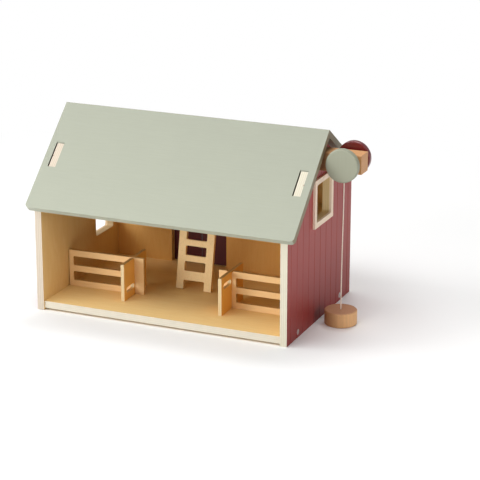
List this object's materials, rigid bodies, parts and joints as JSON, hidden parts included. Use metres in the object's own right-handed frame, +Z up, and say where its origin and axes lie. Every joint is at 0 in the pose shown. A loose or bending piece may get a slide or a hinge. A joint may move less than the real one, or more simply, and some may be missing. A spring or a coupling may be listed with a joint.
{
  "type": "toy barn with opening doors",
  "caption": "Open-fronted toy barn of painted plywood with a lift-off roof, hinged rear doors, loose fences, a leaning ladder and a turning hoist that lifts a weight.",
  "frame": {"origin": "on the table, under the middle of the walls", "axes": "+X along the ridge, towards the hoist; the open side faces -Y; +Z up"},
  "size_m": [0.4062, 0.2425, 0.244],
  "materials": {
    "painted_red": "matt red paint on grooved plywood",
    "door_red": "matt dark red paint on plywood",
    "painted_green": "matt pale grey-green paint",
    "wheel_red": "satin dark red paint",
    "plywood": "clear satin lacquer on birch plywood",
    "frame_wood": "pale sanded wood",
    "beech": "oiled beech",
    "steel": "zinc plated",
    "string": "twisted cotton"
  },
  "bodies": {
    "barn": {"left_gable": "painted_red", "right_gable": "painted_red", "back_wall": "painted_red", "floor_board": "plywood", "loft_board": "plywood", "left_window_frame": "frame_wood", "right_window_frame": "frame_wood", "hoist_beam": "beech", "floor_screws": "steel", "wall_dowels": "beech", "left_hinge_wall_leaves": "steel", "right_hinge_wall_leaves": "steel", "left_hinge_pins": "steel", "right_hinge_pins": "steel", "hinge_wall_screws": "steel"},
    "roof": {"roof_front_panel": "painted_green", "roof_rear_panel": "painted_green", "ridge_batten": "beech"},
    "left_door": {"left_door": "door_red", "left_hinge_door_leaves": "steel", "left_door_screws": "steel", "left_door_knob": "beech"},
    "right_door": {"right_door": "door_red", "right_hinge_door_leaves": "steel", "right_door_screws": "steel", "right_door_knob": "beech"},
    "winch": {"hoist_axle": "beech", "green_wheel": "painted_green", "red_wheel": "wheel_red", "axle_knot": "string"},
    "weight": {"hoist_weight": "beech", "weight_knot": "string", "hoist_string": "string"},
    "ladder": {"ladder": "plywood"},
    "left_fence": {"left_fence_cross": "plywood", "left_fence_long": "plywood"},
    "right_fence": {"right_fence_long": "plywood", "right_fence_cross": "plywood"}
  },
  "joints": [
    {"name": "roof_lift", "type": "slide", "parent": "barn", "child": "roof", "axis": [0, 0, 1], "range_m": [0, 0.15]},
    {"name": "left_door_swing", "type": "hinge", "parent": "barn", "child": "left_door", "pos_m": [-0.086, 0.112, 0.06], "axis": [0, 0, 1], "range_deg": [0, 110]},
    {"name": "right_door_swing", "type": "hinge", "parent": "barn", "child": "right_door", "pos_m": [0.004, 0.112, 0.06], "axis": [0, 0, -1], "range_deg": [0, 110]},
    {"name": "wheel_spin", "type": "hinge", "parent": "barn", "child": "winch", "pos_m": [0.2045, 0.001, 0.2072], "axis": [0, 1, 0], "range_deg": [0, 1440]},
    {"name": "weight_lift", "type": "slide", "parent": "barn", "child": "weight", "axis": [0, 0, 1], "range_m": [0, 0.1206], "deforming": ["hoist_string"]},
    {"name": "ladder_out", "type": "slide", "parent": "barn", "child": "ladder", "axis": [0, -1, 0], "range_m": [0, 0.1]},
    {"name": "left_fence_out", "type": "slide", "parent": "barn", "child": "left_fence", "axis": [0, -1, 0], "range_m": [0, 0.12]},
    {"name": "right_fence_out", "type": "slide", "parent": "barn", "child": "right_fence", "axis": [0, -1, 0], "range_m": [0, 0.12]}
  ],
  "couplings": [
    {"joint": "wheel_spin", "follows": "weight_lift", "rad_per_m": 208.33}
  ]
}
